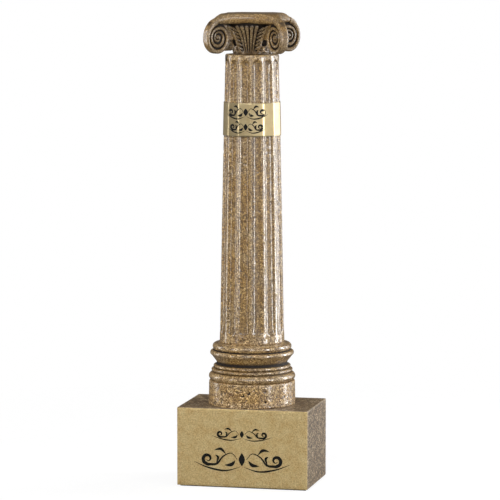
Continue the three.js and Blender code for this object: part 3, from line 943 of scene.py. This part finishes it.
def ramp(tree, value, stops):
    """A colour for each value, blended between (value, colour) stops."""
    made = node(tree, "ValToRGB", {"Fac": value})
    points = made.color_ramp.elements
    while len(points) < len(stops):
        points.new(0.5)
    for point, (at, shade) in zip(points, stops):
        point.position = at
        point.color = (*shade, 1)
    return made.outputs["Color"]


def mix(tree, share, low, high, mode="MIX"):
    colours = {0: share, 6: low, 7: high}  # the colour mix's own sockets
    return node(tree, "Mix", colours, data_type="RGBA", blend_type=mode).outputs[2]


def maths(tree, operation, a, b, clamp=False):
    return node(tree, "Math", {0: a, 1: b}, operation=operation, use_clamp=clamp).outputs[0]


def attribute(tree, name):
    return node(tree, "Attribute", attribute_name=name).outputs["Fac"]


def scaled(tree, value, low, high, to_low=0.0, to_high=1.0):
    settings = {"Value": value, "From Min": low, "From Max": high, "To Min": to_low, "To Max": to_high}
    return node(tree, "MapRange", settings, clamp=True).outputs["Result"]


def bump(tree, shader, height, distance):
    settings = {"Height": height, "Distance": distance * MM, "Strength": 1.0}
    tree.links.new(node(tree, "Bump", settings).outputs["Normal"], shader.inputs["Normal"])


def stain(tree, colour, mask, share, tone):
    """A colour with another tone over it where a mask says, up to a share."""
    return mix(tree, maths(tree, "MULTIPLY", mask, share), colour, tone)


def grained(tree, colour, factor, share):
    """A colour that is multiplied by a factor, up to a share."""
    return mix(tree, share, colour, mix(tree, 1.0, colour, factor, "MULTIPLY"))


def finish(tree, shader, colour, pattern, smooth, rough):
    """Links a colour, and a roughness that follows a noise pattern."""
    tree.links.new(colour, shader.inputs["Base Color"])
    tree.links.new(scaled(tree, pattern, *NOISE_SPAN, smooth, rough), shader.inputs["Roughness"])


def grains(tree, size):
    """Rounded grains: how near a point is to its grain's edge, and the grain's own shade."""
    where = place_in(tree)
    wide = {"Vector": where, "Scale": 0.8 / (size * MM), "Detail": 2.0}
    drift = node(tree, "TexNoise", wide).outputs["Color"]
    bent = node(tree, "VectorMath", {0: drift, "Scale": 0.9 * size * MM}, operation="SCALE")
    moved = node(tree, "VectorMath", {0: where, 1: bent.outputs[0]}, operation="ADD").outputs[0]
    cells = node(tree, "TexVoronoi", {"Vector": moved, "Scale": 1 / (size * MM)})
    shade = node(tree, "SeparateColor", {"Color": cells.outputs["Color"]}).outputs["Red"]
    return cells.outputs["Distance"], shade


def column_stone(name, grain, sealer, tint):
    """Sealed cast stone: golden brown grit, dark glaze with painted shade in its hollows and pits, pale edges
    from wear and painted highlight.
    """
    material, tree, shader = new_material(name, ior=1.4, coat_roughness=0.15, coat_ior=1.5)
    stops = ((0.34, (0.36, 0.235, 0.085)), (0.5, (0.40, 0.28, 0.125)), (0.66, (0.39, 0.30, 0.18)))
    tinted = [(at, tuple(part * share for part, share in zip(colour, tint))) for at, colour in stops]
    tone = ramp(tree, speckle(tree, 11, 3), tinted)
    depth = attribute(tree, "hollows")
    # Pale edges on ridges: wear and painted highlight.
    tone = stain(tree, tone, scaled(tree, depth, -0.04, -0.3), 0.35, WORN_EDGE_AND_HIGHLIGHT)
    edge, shade = grains(tree, GRAIN_SIZE)
    crumbs = ramp(tree, shade, STONE_GRIT)
    gaps = ramp(tree, edge, [(0.4, (1.12, 1.12, 1.12)), (0.8, (0.3, 0.22, 0.15))])
    colour = grained(tree, tone, mix(tree, 1.0, crumbs, gaps, "MULTIPLY"), grain)
    fine = ramp(tree, speckle(tree, 0.5, 2), [(0.35, (0.45, 0.38, 0.3)), (0.62, (1.5, 1.53, 1.6))])
    colour = grained(tree, colour, fine, grain)
    # Painted shade in small pits.
    colour = stain(tree, colour, scaled(tree, attribute(tree, "pits"), 0.015, 0.08), 0.85, PAINTED_PIT_SHADE)
    # Amber, then near-black, in the hollows: partly glaze, partly painted shade; the coat thins there too.
    colour = stain(tree, colour, scaled(tree, depth, 0.01, 0.2), 0.6, AMBER)
    glaze_and_shade = scaled(tree, depth, 0.09, 0.34)
    colour = stain(tree, colour, glaze_and_shade, 0.97, GLAZE_AND_PAINTED_SHADE)
    tree.links.new(colour, shader.inputs["Base Color"])
    rough = scaled(tree, speckle(tree, 1.3, 2), *NOISE_SPAN, 0.35, 0.6)
    rough = maths(tree, "ADD", rough, maths(tree, "MULTIPLY", glaze_and_shade, 0.4), clamp=True)
    tree.links.new(rough, shader.inputs["Roughness"])
    coat = maths(tree, "MULTIPLY", maths(tree, "SUBTRACT", 1.0, glaze_and_shade, clamp=True), sealer)
    tree.links.new(coat, shader.inputs["Coat Weight"])
    height = maths(tree, "SUBTRACT", maths(tree, "MULTIPLY", speckle(tree, 0.5, 2), 0.5), edge)
    bump(tree, shader, height, 0.12 * grain)
    return material


def block_stone():
    """Paler, greyer stone with even salt-and-pepper grain."""
    material, tree, shader = new_material("block_stone", ior=1.45, coat_weight=0.15, coat_roughness=0.3)
    tone = mix(tree, speckle(tree, 11, 3), (0.21, 0.135, 0.063), (0.28, 0.2, 0.115))
    edge, shade = grains(tree, GRAIN_SIZE)
    crumbs = ramp(tree, shade, BLOCK_GRIT)
    gaps = ramp(tree, edge, [(0.35, (1.15, 1.15, 1.15)), (0.75, (0.45, 0.38, 0.32))])
    colour = mix(tree, 1.0, mix(tree, 1.0, tone, crumbs, "MULTIPLY"), gaps, "MULTIPLY")
    mottle = [(0.36, (0.5, 0.45, 0.38)), (0.5, NEUTRAL), (0.64, (1.5, 1.55, 1.6))]
    colour = grained(tree, colour, ramp(tree, speckle(tree, 3, 3, 0.6), mottle), 0.8)
    # Painted shade in small pits.
    pits = scaled(tree, attribute(tree, "pits"), 0.01, 0.07)
    colour = stain(tree, colour, pits, 0.75, (0.03, 0.018, 0.01))
    # Pale edges on ridges: wear and painted highlight.
    wear_and_highlight = scaled(tree, attribute(tree, "hollows"), -0.05, -0.25)
    colour = stain(tree, colour, wear_and_highlight, 0.35, (0.5, 0.4, 0.28))
    finish(tree, shader, colour, speckle(tree, 1.0, 2), 0.45, 0.7)
    bump(tree, shader, maths(tree, "SUBTRACT", 1.0, edge), 0.18)
    return material


def gold_sheet(name, low, high, roughness, grain, sandy, sheen):
    """Satin gold foil with cloudy tarnish between two tones and a fine sandy grain."""
    material, tree, shader = new_material(name, metallic=0.8, ior=1.5, coat_weight=sheen, coat_roughness=0.2)
    tone = mix(tree, scaled(tree, speckle(tree, 5.5, 3, 0.6), *NOISE_SPAN), low, high)
    sand = [(0.3, (0.7, 0.64, 0.52)), (0.5, NEUTRAL), (0.7, (1.3, 1.33, 1.4))]
    colour = mix(tree, sandy, tone, ramp(tree, speckle(tree, 0.9, 2.5, 0.7), sand), "MULTIPLY")
    finish(tree, shader, colour, speckle(tree, 0.9, 2), roughness - 0.6 * grain, roughness + grain)
    bump(tree, shader, speckle(tree, 0.5, 2, 0.6), grain)
    return material


def engraving_black():
    material, tree, shader = new_material("engraving_black", specular_ior_level=0.15)
    colour = ramp(tree, speckle(tree, 0.6, 2), [(0.3, (0.002, 0.002, 0.002)), (0.7, (0.006, 0.005, 0.004))])
    finish(tree, shader, colour, speckle(tree, 0.5, 1), 0.5, 0.7)
    return material


def felt_cloth():
    material, tree, shader = new_material("felt_cloth", sheen_weight=0.5, sheen_roughness=0.5)
    fibres = speckle(tree, 0.5, 3, 0.7)
    colour = ramp(tree, fibres, [(0.3, (0.006, 0.012, 0.008)), (0.7, (0.03, 0.05, 0.035))])
    finish(tree, shader, colour, fibres, 0.8, 1.0)
    bump(tree, shader, fibres, 0.3)
    return material


def turned_metal(name, low, high, roughness, stretch):
    """Machined metal with fine tool marks round or along its axis."""
    material, tree, shader = new_material(name, metallic=1.0)
    marks = speckle(tree, 1.2, 3, 0.6, stretch)
    finish(tree, shader, ramp(tree, marks, [(0.3, low), (0.7, high)]), marks, roughness, roughness + 0.18)
    bump(tree, shader, marks, 0.03)
    return material


def tape_foam():
    material, tree, shader = new_material("tape_foam")
    cells = speckle(tree, 0.3, 2, 0.6)
    colour = ramp(tree, cells, [(0.3, (0.55, 0.52, 0.45)), (0.7, (0.8, 0.78, 0.72))])
    finish(tree, shader, colour, cells, 0.7, 0.9)
    bump(tree, shader, cells, 0.05)
    return material


# ---- assembly ----


def fit(piece, material, slot, *nodes):
    """Gives a new piece its material and the CAD nodes it stands for; its slot is not used."""
    piece.data.materials.clear()
    piece.data.materials.append(material)
    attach(piece, "root")
    if nodes:
        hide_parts(*nodes)


def dress(material, *names):
    """Gives CAD nodes that stay their material."""
    for name in names:
        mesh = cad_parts[name].data
        mesh.materials.clear()
        mesh.materials.append(material)


def make_pieces():
    stone = column_stone("column_stone", 0.9, 0.7, (1.0, 0.92, 0.74))
    rough = column_stone("drum_stone", 1.0, 0.35, (1.12, 1.06, 0.95))
    carved = column_stone("capital_stone", 0.6, 0.6, (0.8, 0.72, 0.58))
    plate_gold = gold_sheet("plate_gold", (0.52, 0.365, 0.155), (0.6, 0.475, 0.24), 0.46, 0.1, 1.0, 0.0)
    band_gold = gold_sheet("band_gold", (0.34, 0.26, 0.13), (0.41, 0.33, 0.185), 0.36, 0.008, 0.12, 0.25)
    black = engraving_black()

    for piece, material, slot, cad in (
        (make_block(), block_stone(), "block_stone", "base_block"),
        (make_drum(), rough, "column_stone", "plinth_drum"),
        (make_moulding(), stone, "column_stone", "column_moulding"),
        (make_shaft(), stone, "column_stone", "fluted_shaft"),
        (make_capital(), carved, "column_stone", "capital"),
        (make_plate(), plate_gold, "gold_plate", "front_plate"),
        (make_band(), band_gold, "gold_band", "shaft_band"),
        (make_felt(), felt_cloth(), "felt", "felt_pad"),
    ):
        fit(piece, material, slot, cad)

    for name, width, height, bold, lay, slot in (
        ("plate_upper_flourish", 38, 8, 1.6, on_plate(33.5), "gold_plate"),
        ("plate_lower_flourish", 60, 15, 1.3, on_plate(17.5), "gold_plate"),
        ("band_upper_flourish", 29, 8.6, 1.7, on_band(BAND_MIDDLE + 4.3), "gold_band"),
        ("band_lower_flourish", 25, 7.6, 1.7, on_band(BAND_MIDDLE - 4.7), "gold_band"),
    ):
        fit(make_engraving(name, flourish(width, height, bold), lay), black, slot)

    steel = turned_metal("zinc_steel", (0.42, 0.42, 0.43), (0.62, 0.62, 0.64), 0.3, (0.3, 0.3, 3))
    brass = turned_metal("turned_brass", (0.55, 0.38, 0.14), (0.72, 0.54, 0.25), 0.25, (0.3, 0.3, 3))
    pin_steel = turned_metal("ground_steel", (0.5, 0.5, 0.51), (0.62, 0.62, 0.63), 0.18, (3, 3, 0.2))
    dress(steel, "tie_rod", "flat_washer", "lock_washer", "rod_nut")
    dress(brass, "capital_insert")
    dress(pin_steel, *(f"{joint}_locating_pin" for joint in PIN_ANGLES))
    dress(tape_foam(), "front_plate_tape", "band_tape")


# ---- studio ----


WHITE = (1, 1, 1)
FLOOR_HALF = 600
FLOOR_FADE = (0.10, 0.42)  # metres from the axis over which it melts away
AIM = Vector((0, 0, 0.15))  # what the lights face, in metres

# Name, azimuth, elevation, distance, width, height and power, in degrees, metres and watts.
LIGHTS = (
    ("right_strip", 112, 8, 0.75, 0.14, 0.7, 3.5),
    ("rear_right_strip", 137, 8, 0.8, 0.14, 0.7, 2.2),
    ("left_strip", -96, 8, 0.8, 0.12, 0.7, 2.2),
    ("front_right_fill", 45, 10, 1.0, 0.5, 0.6, 1.2),
    ("front_left_strip", -43, 10, 1.0, 0.16, 0.6, 2),
    ("front_soft", 2, 22, 1.3, 0.8, 0.6, 10.2),
    ("overhead", 10, 80, 1.0, 0.6, 0.6, 2),
)
GLINT_LIGHTS = (  # these show only as reflections
    ("front_right_glint", 60, 8, 1.0, 0.15, 0.7, 10),
    ("right_glint", 114, 8, 0.75, 0.1, 0.7, 4),
    ("left_glint", -43, 8, 1.0, 0.12, 0.7, 1.2),
)


def by_viewer(tree, for_light, for_camera):
    """One shader for light that bounces about and another for what the camera sees."""
    seen = node(tree, "LightPath").outputs["Is Camera Ray"]
    return node(tree, "MixShader", {0: seen, 1: for_light, 2: for_camera}).outputs[0]


def make_floor():
    """A pale floor that melts into the white background."""
    h = FLOOR_HALF
    floor = make_piece("floor", [(-h, -h, 0), (h, -h, 0), (h, h, 0), (-h, h, 0)], [(0, 1, 2, 3)])
    material, tree, shader = new_material("floor_white", roughness=0.9)
    feed(tree, shader.inputs["Base Color"], (0.15, 0.15, 0.15))
    surface = shader.outputs[0]
    glow = node(tree, "Emission", {"Color": WHITE, "Strength": 0.86}).outputs[0]
    bright = node(tree, "AddShader", {0: surface, 1: glow}).outputs[0]
    lit = by_viewer(tree, surface, bright)
    clear = node(tree, "BsdfTransparent").outputs[0]
    away = node(tree, "VectorMath", {0: place_in(tree)}, operation="LENGTH").outputs["Value"]
    faded = node(tree, "MixShader", {0: scaled(tree, away, *FLOOR_FADE), 1: lit, 2: clear}).outputs[0]
    tree.links.new(faded, tree.nodes["Material Output"].inputs["Surface"])
    floor.data.materials.append(material)
    floor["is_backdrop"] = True


def soft_light(name, azimuth, elevation, distance, width, height, power, glints_only=False):
    """An area light that faces the column, at an azimuth to the right of its front."""
    a, e = math.radians(azimuth), math.radians(elevation)
    away = Vector((math.sin(a) * math.cos(e), -math.cos(a) * math.cos(e), math.sin(e)))
    lamp = bpy.data.lights.new(name, "AREA")
    lamp.shape = "RECTANGLE"
    lamp.size = width
    lamp.size_y = height
    lamp.energy = power
    light = bpy.data.objects.new(name, lamp)
    light.visible_diffuse = not glints_only
    light.location = AIM + away * distance
    light.rotation_euler = away.to_track_quat("Z", "Y").to_euler()
    bpy.context.scene.collection.objects.link(light)


def make_studio():
    """The floor, the lights and a white background that lights the trophy only faintly."""
    make_floor()
    world = bpy.data.worlds.new("studio")
    bpy.context.scene.world = world
    world.use_nodes = True
    tree = world.node_tree
    backdrop = tree.nodes["Background"]
    feed(tree, backdrop.inputs["Color"], WHITE)
    faint = node(tree, "Background", {"Color": WHITE, "Strength": 0.08}).outputs[0]
    chosen = by_viewer(tree, faint, backdrop.outputs[0])
    tree.links.new(chosen, tree.nodes["World Output"].inputs["Surface"])
    for light in LIGHTS:
        soft_light(*light)
    for light in GLINT_LIGHTS:
        soft_light(*light, glints_only=True)
    bpy.context.scene.view_settings.view_transform = "Standard"


make_camera()
make_pieces()
make_studio()
{name: [list(corner) for corner in box] for name, box in (("cad", cad_box), ("visual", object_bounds()))}
